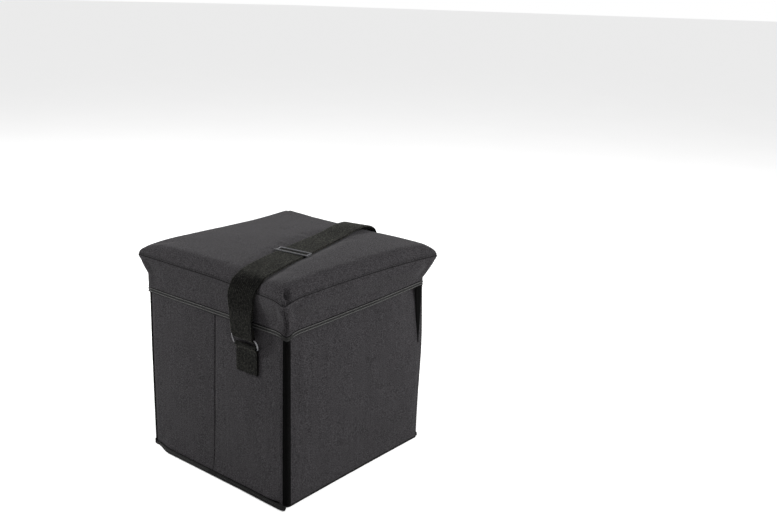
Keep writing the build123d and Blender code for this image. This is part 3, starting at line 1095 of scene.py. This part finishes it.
def skirt_low(s, t):
    """Lower edge of the skirt, deeper at its corners and drawn up towards the far front one."""
    dip = 0.0
    for a, b, _, _ in LID_TIPS:
        away = math.hypot((1 - a * s) * SKIRT_H, (1 - b * t) * SKIRT_H)
        dip += 6.5 * bell(away, 12 * MM) if a + b < -1 else 2.0 * bell(away, 8 * MM)
    sway = 0.7 * wobble((s, t, 0), 2.3, 4.0)
    lift = 9.8 * ((1 + s) / 2 * (1 - t) / 2) ** 1.4
    return SKIRT_LOW - (dip + sway - lift) * MM


def skirt_point(s, t, z):
    """A point of the skirt, from the flared seam down to the straight part."""
    sx, sy, seam = lid_outline(s, t, LID_H)
    bx, by = rounded(s, t, SKIRT_H - 0.4 * MM, 8 * MM)
    q = max(0.0, min(1.0, (seam - z) / ((32 + 7 * (1 + s) * (1 - t) / 4) * MM)))
    near = (1 - min(abs(s), abs(t))) * LID_H
    upright = rise_between(near, 8 * MM, 45 * MM) if t == -1 else 0.0
    share = q ** 1.35 * (1 - upright) + max(0.0, (q - 0.38) / 0.62) ** 1.1 * upright
    out = Vector((s if abs(s) == 1 else 0, t if abs(t) == 1 else 0, 0)).normalized()
    hang = rise_between(z, seam, seam - 12 * MM) * rise_between(z, SKIRT_LOW, SKIRT_LOW + 14 * MM)
    fold = 1.3 * bell(near - 9 * MM, 6 * MM) - 1.5 * bell(near, 2.2 * MM) - 0.8 * bell(near - 20 * MM, 7 * MM)
    if s + t < -1:
        fold -= 2.6 * bell(near, 3.6 * MM) * rise_between(z, seam - 6 * MM, seam - 22 * MM)
    fold += 2.6 * upright * min(q / 0.38, (1 - q) / 0.62)
    ripple = wobble((bx, by, z * 0.3), 34.0, 1.3) * (0.45 + 0.9 * bell(near, 45 * MM))
    stand = (fold * (0.35 + 0.65 * bell(seam - z - 14 * MM, 20 * MM)) + ripple) * hang
    return Vector((sx + (bx - sx) * share, sy + (by - sy) * share, z)) + out * stand * MM


def build_skirt():
    ring = lid_ring()
    verts = []
    levels = 26
    for k in range(levels):
        q = k / (levels - 1)
        for s, t in ring:
            top = lid_outline(s, t, LID_H)[2]
            verts.append(skirt_point(s, t, top + (skirt_low(s, t) + 3 * MM - top) * q))
    faces = grid_faces(levels, len(ring), wrap_columns=True)
    skirt = make("lid_skirt_cloth", verts, faces, CANVAS)
    middle = skirt.data.polygons[len(ring) * 4 + 20]
    if middle.normal.dot(middle.center.normalized()) < 0:
        skirt.data.flip_normals()
    thicken(skirt, 1.0 * MM)
    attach(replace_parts(skirt, "lid_skirt"), "lid")


def ring_band(name, centres, profile, material, waver=0.0):
    """Closed cross-section (out, up) carried round a closed run of 3-D points."""
    verts, uvs, length = [], [], 0.0
    reach = running_length(profile)
    for index, place in enumerate(centres):
        before, after = centres[index - 1], centres[(index + 1) % len(centres)]
        along = (after - before).normalized()
        out = along.cross(Vector((0, 0, 1))).normalized()
        length += (place - before).length if index else 0.0
        for (away, up), across in zip(profile, reach):
            shift = wobble(place, 60.0, 2.2) * waver
            verts.append(place + out * (away + shift) + Vector((0, 0, up)))
            uvs.append((length, across))
    faces = grid_faces(len(centres), len(profile), wrap_rows=True, wrap_columns=True)
    return fix_normals(make(name, verts, faces, material, uvs))


def thread_row(name, centres, material, pitch, thick):
    """Stitches along a closed run of 3-D points."""
    verts, faces, total, due = [], [], 0.0, pitch / 2
    for index in range(len(centres)):
        a, b = centres[index - 1], centres[index]
        step = (b - a).length
        along = (b - a).normalized()
        out = along.cross(Vector((0, 0, 1))).normalized()
        while due < total + step:
            add_stitch(verts, faces, a.lerp(b, (due - total) / step), along, out, 2.6 * MM, thick)
            due += pitch
        total += step
    return make(name, verts, faces, material)


def disc(out, up, wide, tall):
    """Eight-sided outline for a cord or a thin fold, in (out, up)."""
    turns = spaced(0, 2 * math.pi, 9)[:-1]
    return [(out + wide * math.cos(a), up + tall * math.sin(a)) for a in turns]


def build_lid():
    build_pad()
    build_pad_core()
    build_skirt()
    ring = lid_ring()
    build_seam(ring)
    build_hem(ring)
    build_underside()
    for a, b, _, _ in LID_TIPS:
        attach(corner_seam(a, b), "lid")


def build_seam(ring):
    """Cord and stitches along the seam between pad and skirt."""
    seam = [Vector(lid_outline(s, t, LID_H + 0.1 * MM)) for s, t in ring]
    cord = disc(0.0, 0.0, 0.5 * MM, 0.5 * MM)
    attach(ring_band("lid_seam_cord", seam, cord, SEAM_THREAD, 0.1 * MM), "lid")
    raised = Vector((0, 0, 3.2 * MM))
    above = [Vector(lid_outline(s, t, LID_H - 0.35 * MM)) + raised for s, t in ring]
    row = thread_row("stitch_lid_seam", above, SEAM_THREAD, 4.0 * MM, 0.36 * MM)
    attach(row, "lid")


def build_hem(ring):
    """Binding tape along the skirt's lower edge: two folds painted pale as a sheen, a stitched middle, and a
    black cord above that is the seam line with painted shade of the tape's top edge.
    """
    edge = [skirt_point(s, t, skirt_low(s, t)) for s, t in ring]
    shape = [(-0.9, 6.4), (0.4, 6.3), (0.8, 5.7), (0.7, 4.9), (0.2, 4.2), (0.15, 2.9)]
    shape += [(0.7, 2.2), (0.9, 1.1), (0.5, 0.2), (-0.9, 0.3)]
    profile = [(away * MM, up * MM) for away, up in shape]
    tape = ring_band("lid_skirt_binding", edge, profile, SKIRT_TAPE, 0.2 * MM)
    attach(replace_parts(tape, "lid_skirt_tape"), "lid")
    inner = []
    for (s, t), p in zip(ring, edge):
        tuck = 2.6 * MM * bell(math.hypot(1 + s, 1 + t) * SKIRT_H, 8 * MM)
        inner.append(p + Vector((tuck, tuck, 0)))
    # The two folds get the pale tape: painted sheen on their edges.
    for part, up in (("low", 1.1 * MM), ("high", 5.7 * MM)):
        fold = disc(0.5 * MM, up, 0.75 * MM, 0.75 * MM)
        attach(ring_band(f"skirt_binding_fold_sheen_{part}", inner, fold, FOLD_PAINTED_SHEEN, 0.2 * MM), "lid")
    # Black cord along the tape's top edge: the seam line there, darkened as painted shade of the edge's
    # shadow.
    groove = disc(0.1 * MM, 7.1 * MM, 0.6 * MM, 0.5 * MM)
    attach(ring_band("skirt_hem_seam_shade", edge, groove, THREAD), "lid")
    line = [p + Vector((0, 0, 3.5 * MM)) for p in edge]
    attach(thread_row("stitch_skirt", line, THREAD, 3.6 * MM, 0.5 * MM), "lid")


def build_underside():
    """Lining under the lid."""
    top, under = [], []
    for s in spaced(-1, 1, 34):
        for t in spaced(-1, 1, 34):
            x, y, z = lid_outline(s, t, LID_H - 4 * MM)
            sag = 0.6 * MM * wobble((x, y, 0), 18.0, 8.0)
            top.append(Vector((x, y, z + 2.6 * MM)))
            under.append(Vector((x, y, z + 1.8 * MM + min(sag, 0.5 * MM))))
    lining = closed_slab("lid_underside", top, under, LINING)
    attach(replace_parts(lining, "lid_lining"), "lid")


def corner_seam(a, b):
    """Sewn line down one corner of the skirt."""
    place = f"{'left' if a < 0 else 'right'}_{'front' if b < 0 else 'rear'}"
    out = Vector((a, b, 0)).normalized()
    verts, faces = [], []
    heights = spaced(SKIRT_LOW + 2 * MM, SEAM_Z - 12 * MM, 17)
    for z in heights[1:]:
        at = skirt_point(a, b, z) + out * 0.35 * MM
        add_stitch(verts, faces, at, Vector((0, 0, 1)), out, 2.6 * MM, 0.6 * MM)
    return make(f"stitch_corner_seam_{place}", verts, faces, THREAD)


# ---------------------------------------------------------------- strap
RING_LEAN = math.radians(18)


def smooth_path(points, per_span=9):
    """Catmull-Rom through (point, width direction) pairs."""
    path = []
    for i in range(len(points) - 1):
        p = [points[max(i - 1, 0)], points[i], points[i + 1], points[min(i + 2, len(points) - 1)]]
        for k in range(per_span):
            t = k / per_span
            c = (
                -0.5 * t + t * t - 0.5 * t ** 3,
                1 - 2.5 * t * t + 1.5 * t ** 3,
                0.5 * t + 2 * t * t - 1.5 * t ** 3,
                -0.5 * t * t + 0.5 * t ** 3,
            )
            place = sum((p[n][0] * c[n] for n in range(4)), Vector())
            wide = sum((p[n][1] * c[n] for n in range(4)), Vector()).normalized()
            path.append((place, wide))
    path.append(points[-1])
    return path


def ribbon(name, path, width, thick, material, taper=None, ridge=0.12 * MM):
    """Webbing with rounded edges, carried along a path of (point, width direction)."""
    half = [0.17, 0.34, 0.51, 0.68, 0.82, 0.92, 0.97, 0.99, 1.0]
    across = [-s for s in reversed(half)] + [0.0] + half
    verts, uvs, length = [], [], 0.0
    for index, (place, wide) in enumerate(path):
        before = path[max(index - 1, 0)][0]
        after = path[min(index + 1, len(path) - 1)][0]
        tangent = (after - before).normalized()
        wide = wide.normalized()
        out = wide.cross(tangent).normalized()
        if index:
            length += (place - before).length
        span = width * (taper(index / (len(path) - 1)) if taper else 1.0)
        ring = []
        for s in across:
            edge = math.sqrt(max(0.0, 1 - abs(s) ** 60))
            ring.append((s, 0.5 * thick * max(edge, 0.25) + ridge * bell(abs(s) - 0.88, 0.07)))
        for sign in (1, -1):
            for s, lift in (ring if sign > 0 else ring[::-1]):
                verts.append(place + wide * s * span / 2 + out * sign * lift)
                uvs.append((length, s * span / 2))
    count = 2 * len(across)
    faces = grid_faces(len(path), count, wrap_columns=True) + end_caps(len(path), count)
    return fix_normals(make(name, verts, faces, material, uvs))


# The strap's rise from the left ring and its fall towards the right one: its middle in millimetres, then the
# direction of its width. On the left y is measured from the tab's middle.
STRAP_RISE = [
    (-177.8, 0.0, 271.0, (0, 1, 0)),
    (-179.5, 0.5, 290.0, (0, 1, 0)),
    (-180.5, 0.0, 307.0, (-0.02, 1, 0)),
    (-179.3, 0.5, 320.5, (-0.11, 1, -0.04)),
    (-178.8, 1.2, 331.5, (-0.145, 1, -0.03)),
    (-178.5, -0.7, 340.0, (-0.18, 1, 0)),
]
STRAP_FALL = [
    (178.5, -17.0, 366.0, (-0.13, 1, -0.10)),
    (185.0, -20.0, 349.0, (-0.03, 1, -0.26)),
    (185.6, -30.0, 330.0, (0.04, 1, -0.40)),
    (184.0, -48.0, 311.0, (0.05, 1, -0.36)),
    (181.8, -67.0, 296.0, (0.03, 1, -0.20)),
]


def strap_stations():
    """The strap's lie over the lid, from the left ring to the right ring."""
    path = [(Vector((x * MM, TAB_Y + y * MM, z * MM)), Vector(wide)) for x, y, z, wide in STRAP_RISE]
    for x, y, z, lean_x, lean_z in STRAP_LIE:
        path.append((Vector((x * MM, TAB_Y + y * MM, STRAP_Z + z * MM)), Vector((lean_x, 1, lean_z))))
    path += [(Vector((x * MM, y * MM, z * MM)), Vector(wide)) for x, y, z, wide in STRAP_FALL]
    path.append((Vector((181.4 * MM, TAB_Y + 2 * MM, 284 * MM)), Vector((0, 1, -0.05))))
    path.append((Vector((182.0 * MM, TAB_Y, 271 * MM)), Vector((0, 1, 0))))
    return path


def build_strap():
    width = 51 * MM

    def taper(t):
        return 0.97 + 0.03 * min(1.0, min(t, 1 - t) * 9)

    path = smooth_path(strap_stations())
    strap = ribbon("shoulder_strap_webbing", path, width, 2.6 * MM, WEBBING, taper)
    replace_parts(strap, "shoulder_strap")
    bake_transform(strap)


def loop_path(sx, x, z, radius, leg_x, leg_z):
    """Webbing bent under a bar at (x, z): down one leg, round the bar, back up the other."""
    points = [(x + radius, leg_z), (x + radius, z + (leg_z - z) * 0.4)]
    points += [(x + radius * math.cos(t), z - radius * math.sin(t)) for t in spaced(0, math.pi, 12)]
    points += [(leg_x, z + (leg_z - z) * 0.35), (leg_x, leg_z)]
    return webbing_path(sx, points)


def webbing_path(sx, points):
    """Plan distances and heights on one side of the carrier to strap-wide stations at the tab."""
    return [(Vector((sx * x, TAB_Y, z)), Vector((0, 1, 0))) for x, z in points]


def lean_out(point, sx, x, z):
    """Turn a point about the ring's lower bar: the pull of the strap tips the ring outwards."""
    dx, dz = sx * point.x - x, point.z - z
    c, s = math.cos(RING_LEAN), math.sin(RING_LEAN)
    return Vector((sx * (x + dx * c + dz * s), point.y, z + dz * c - dx * s))


def build_rings():
    for side, sx in (("left", -1), ("right", 1)):
        lo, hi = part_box(f"{side}_ring")
        push = abs(splay(Vector((sx * H, TAB_Y, 0)), 0.24).x)
        x = abs(lo.x + hi.x) / 2 + push
        wire = (hi.x - lo.x) / 2
        low_z, high_z = lo.z + wire, hi.z - wire
        build_ring(side, sx, x, wire, low_z, high_z)
        build_strap_end(side, sx, x, wire + 1.0 * MM, low_z, high_z)
        build_tab(side, sx, x, wire + 1.0 * MM, low_z, push)


def build_ring(side, sx, x, wire, low_z, high_z):
    """Wire ring through the tab. Its bars lie at low_z and high_z."""
    lo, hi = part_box(f"{side}_ring")
    outline = ring_outline((hi.y - lo.y) / 2 - wire, (high_z - low_z) / 2)
    out = Vector((sx, 0, 0))
    verts, count = [], 14
    for index, (y, z) in enumerate(outline):
        a, b = outline[index - 1], outline[(index + 1) % len(outline)]
        tangent = Vector((0, b[0] - a[0], b[1] - a[1])).normalized()
        across = tangent.cross(out)
        centre = Vector((sx * x, TAB_Y + y, (low_z + high_z) / 2 + z))
        for k in range(count):
            turn = 2 * math.pi * k / count
            on_wire = centre + (out * math.cos(turn) + across * math.sin(turn)) * wire * 0.92
            verts.append(lean_out(on_wire, sx, x, low_z))
    faces = grid_faces(len(outline), count, wrap_rows=True, wrap_columns=True)
    ring = fix_normals(make(f"ring_wire_{side}", verts, faces, WIRE))
    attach(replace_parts(ring, f"{side}_ring"), f"{side}_ring_link")


def build_strap_end(side, sx, x, loop_r, low_z, high_z):
    """The strap's sewn loop round the ring's upper bar."""
    lo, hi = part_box(f"{side}_strap_end")
    bar = lean_out(Vector((sx * x, 0, high_z)), sx, x, low_z)
    bar_x = abs(bar.x)
    path = loop_path(sx, bar_x, bar.z, loop_r, bar_x - loop_r + 1.7 * MM, hi.z)
    end = ribbon(f"strap_end_{side}", path, hi.y - lo.y, 1.5 * MM, WEBBING)
    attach(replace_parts(end, f"{side}_strap_end"), f"{side}_ring_link")


def build_tab(side, sx, x, loop_r, bar_z, push):
    """Webbing folded round the ring's lower bar and sewn to the front leaf of the creased wall."""
    lo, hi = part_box(f"{side}_tab")
    face = H + wall_relief(Vector((sx * H, TAB_Y, 0)), Vector((sx, 0, 0)), 0.23) + push + 1.2 * MM
    outer, under = face + 1.7 * MM, face + 0.1 * MM
    places = [(outer, lo.z)] + [(outer, z) for z in spaced(lo.z + 4 * MM, bar_z - 7 * MM, 6)]
    for t in spaced(-0.42 * math.pi, 1.05 * math.pi, 14):
        places.append((x + loop_r * math.cos(t), bar_z + loop_r * math.sin(t)))
    places += [(under, z) for z in spaced(bar_z - 6 * MM, lo.z + 1 * MM, 6)]
    path = webbing_path(sx, places)
    tab = ribbon(f"tab_webbing_{side}", path, hi.y - lo.y + 2 * MM, 1.5 * MM, WEBBING)
    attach(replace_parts(tab, f"{side}_tab"), f"{side}_front_leaf")
    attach(tab_stitching(side, sx, face + 2.5 * MM, lo, hi, bar_z), f"{side}_front_leaf")


def ring_outline(half, rise):
    """Rectangular ring whose short ends bow outwards."""
    straight, bowed = half * 0.86, half * 0.14
    points = []
    for sign in (-1, 1):
        points += [(y, sign * rise) for y in spaced(sign * straight, -sign * straight, 14)]
        for t in spaced(-70, 70, 9):
            turn = math.radians(t)
            out = straight + bowed * math.cos(turn) ** 0.6
            points.append((-sign * out, -sign * rise * math.sin(turn) * 0.98))
    return points


def tab_stitching(side, sx, x, tab_lo, tab_hi, bar_z):
    """Box and cross stitched through the tab."""
    y0, y1 = tab_lo.y + 4 * MM, tab_hi.y - 4 * MM
    z0, z1 = tab_lo.z + 4 * MM, bar_z - 10 * MM
    corners = [(y0, z0), (y1, z0), (y1, z1), (y0, z1)]
    lines = list(zip(corners, corners[1:] + corners[:1]))
    lines += [(corners[0], corners[2]), (corners[1], corners[3])]
    verts, faces = [], []
    out = Vector((sx, 0, 0))
    for (ya, za), (yb, zb) in lines:
        a, b = Vector((sx * x, ya, za)), Vector((sx * x, yb, zb))
        along = (b - a).normalized()
        count = int((b - a).length / (3.4 * MM))
        for k in range(count):
            add_stitch(verts, faces, a.lerp(b, (k + 0.5) / count), along, out, 2.4 * MM, 0.5 * MM)
    return make(f"stitch_tab_{side}", verts, faces, HEM_THREAD)


# ---------------------------------------------------------------- adjuster
def rounded_bar(verts, faces, centre, size, radius, turn):
    """Box with rolled edges, added to a growing mesh."""
    bm = bmesh.new()
    bmesh.ops.create_cube(bm, size=1.0)
    bmesh.ops.scale(bm, vec=Vector(size), verts=bm.verts)
    bmesh.ops.bevel(bm, geom=list(bm.edges), offset=radius, segments=3, profile=0.6, affect="EDGES")
    base = len(verts)
    for v in bm.verts:
        verts.append(turn @ (v.co + Vector(centre)))
    bm.verts.index_update()
    for f in bm.faces:
        faces.append(tuple(base + v.index for v in f.verts))
    bm.free()


def build_adjuster():
    lo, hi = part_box("strap_adjuster")
    centre, lean = strap_lie((lo.x + hi.x) / 2 - 6.5 * MM)
    turn = Matrix.Translation(centre) @ Matrix.Rotation(0.26, 4, "Z") @ Matrix.Rotation(lean, 4, "X")
    verts, faces = [], []
    length, width = 18 * MM, 59 * MM
    for x in (-length / 2 + 1.5 * MM, length / 2 - 1.5 * MM):
        rounded_bar(verts, faces, (x, 0, 2.5 * MM), (3.0 * MM, width, 2.6 * MM), 1.1 * MM, turn)
    rounded_bar(verts, faces, (0, 0, -1.5 * MM), (3.6 * MM, width - 2 * MM, 1.0 * MM), 0.45 * MM, turn)
    for y in (-width / 2 + 1.5 * MM, width / 2 - 1.5 * MM):
        size = (length - 2 * MM, 2.6 * MM, 4.2 * MM)
        rounded_bar(verts, faces, (0, y, 1.2 * MM), size, 1.1 * MM, turn)
    piece = make("adjuster_frame", verts, faces, ADJUSTER)
    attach(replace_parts(piece, "strap_adjuster"), "adjuster")


# ---------------------------------------------------------------- hidden layers keep their CAD shapes
def finish_cad_nodes():
    for name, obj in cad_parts.items():
        material = FOAM if "foam" in name else BOARD if "board" in name else None
        if material is not None:
            obj.data.materials.clear()
            obj.data.materials.append(material)


# ---------------------------------------------------------------- studio
def build_stage():
    mat, tree, bsdf = new_material("floor_pale")
    vector, _ = position(tree)
    tone = noise_value(tree, vector, 3.0, 2.0)
    colour(tree, bsdf, tone, [(0.3, (0.80, 0.80, 0.80)), (0.7, (0.82, 0.82, 0.82))])
    surface(bsdf, Roughness=0.9)
    path = node(tree, "ShaderNodeLightPath")
    glow = mul(tree, path.outputs["Is Camera Ray"], 0.42)
    tree.links.new(glow, bsdf.inputs["Emission Strength"])
    bsdf.inputs["Emission Color"].default_value = (1, 1, 1, 1)
    verts = [(-90, -90, 0), (90, -90, 0), (90, 90, 0), (-90, 90, 0)]
    mesh = bpy.data.meshes.new("floor")
    mesh.from_pydata(verts, [], [(0, 1, 2, 3)])
    mesh.materials.append(mat)
    floor = bpy.data.objects.new("floor", mesh)
    floor.location.z = min(low("front_base_tape").z, 0) - 0.2 * MM
    bpy.context.scene.collection.objects.link(floor)


def area_light(name, place, target, size, power):
    data = bpy.data.lights.new(name, "AREA")
    data.shape = "SQUARE"
    data.size = size
    data.energy = power
    light = bpy.data.objects.new(name, data)
    light.location = place
    light.rotation_mode = "QUATERNION"
    light.rotation_quaternion = (Vector(target) - Vector(place)).to_track_quat("-Z", "Y")
    bpy.context.scene.collection.objects.link(light)


def build_lights():
    world = bpy.data.worlds.new("studio")
    world.use_nodes = True
    tree = world.node_tree
    background = tree.nodes["Background"]
    geometry = node(tree, "ShaderNodeNewGeometry")
    parts = node(tree, "ShaderNodeSeparateXYZ")
    tree.links.new(geometry.outputs["Incoming"], parts.inputs[0])
    height = mul(tree, parts.outputs[2], -1.0)
    sky = ramp(tree, height, [(0.0, (0.80, 0.80, 0.80)), (0.35, (1.0, 1.0, 1.0))])
    path = node(tree, "ShaderNodeLightPath")
    seen = tree.nodes.new("ShaderNodeMix")
    seen.data_type = "RGBA"
    tree.links.new(path.outputs["Is Camera Ray"], seen.inputs["Factor"])
    tree.links.new(sky, seen.inputs["A"])
    seen.inputs["B"].default_value = (2.0, 2.0, 2.0, 1)
    tree.links.new(seen.outputs["Result"], background.inputs["Color"])
    background.inputs["Strength"].default_value = 0.50
    bpy.context.scene.world = world
    area_light("left_soft", (-1.35, 2.35, 1.9), (0, 0, 0.2), 0.45, 92)
    area_light("right_soft", (1.75, -2.1, 1.8), (0, 0, 0.2), 0.7, 88)
    bpy.context.scene.view_settings.view_transform = "Standard"


def build_camera():
    """The camera stands off the near corner, a little above the lid."""
    width = 0.330
    azimuth, down, roll = math.radians(51.25), math.radians(15.89), math.radians(1.65)
    level = Vector((math.sin(azimuth), math.cos(azimuth), 0)) * math.cos(down)
    ahead = level - Vector((0, 0, math.sin(down)))
    right = ahead.cross(Vector((0, 0, 1))).normalized()
    up = right.cross(ahead)
    right, up = (
        right * math.cos(roll) + up * math.sin(roll),
        up * math.cos(roll) - right * math.sin(roll),
    )
    data = bpy.data.cameras.new("camera")
    data.sensor_width = 36
    data.lens = 906.1 / 777 * 36
    camera = bpy.data.objects.new("camera", data)
    axes = Matrix((right, up, -ahead)).transposed()
    camera.matrix_world = Matrix.Translation(Vector((-3.197, -3.237, 2.328)) * width) @ axes.to_4x4()
    bpy.context.scene.collection.objects.link(camera)
    bpy.context.scene.camera = camera


build_walls()
build_corners()
build_creases()
build_bottom()
build_lid()
build_strap()
build_rings()
build_adjuster()
finish_cad_nodes()
build_stage()
build_lights()
build_camera()
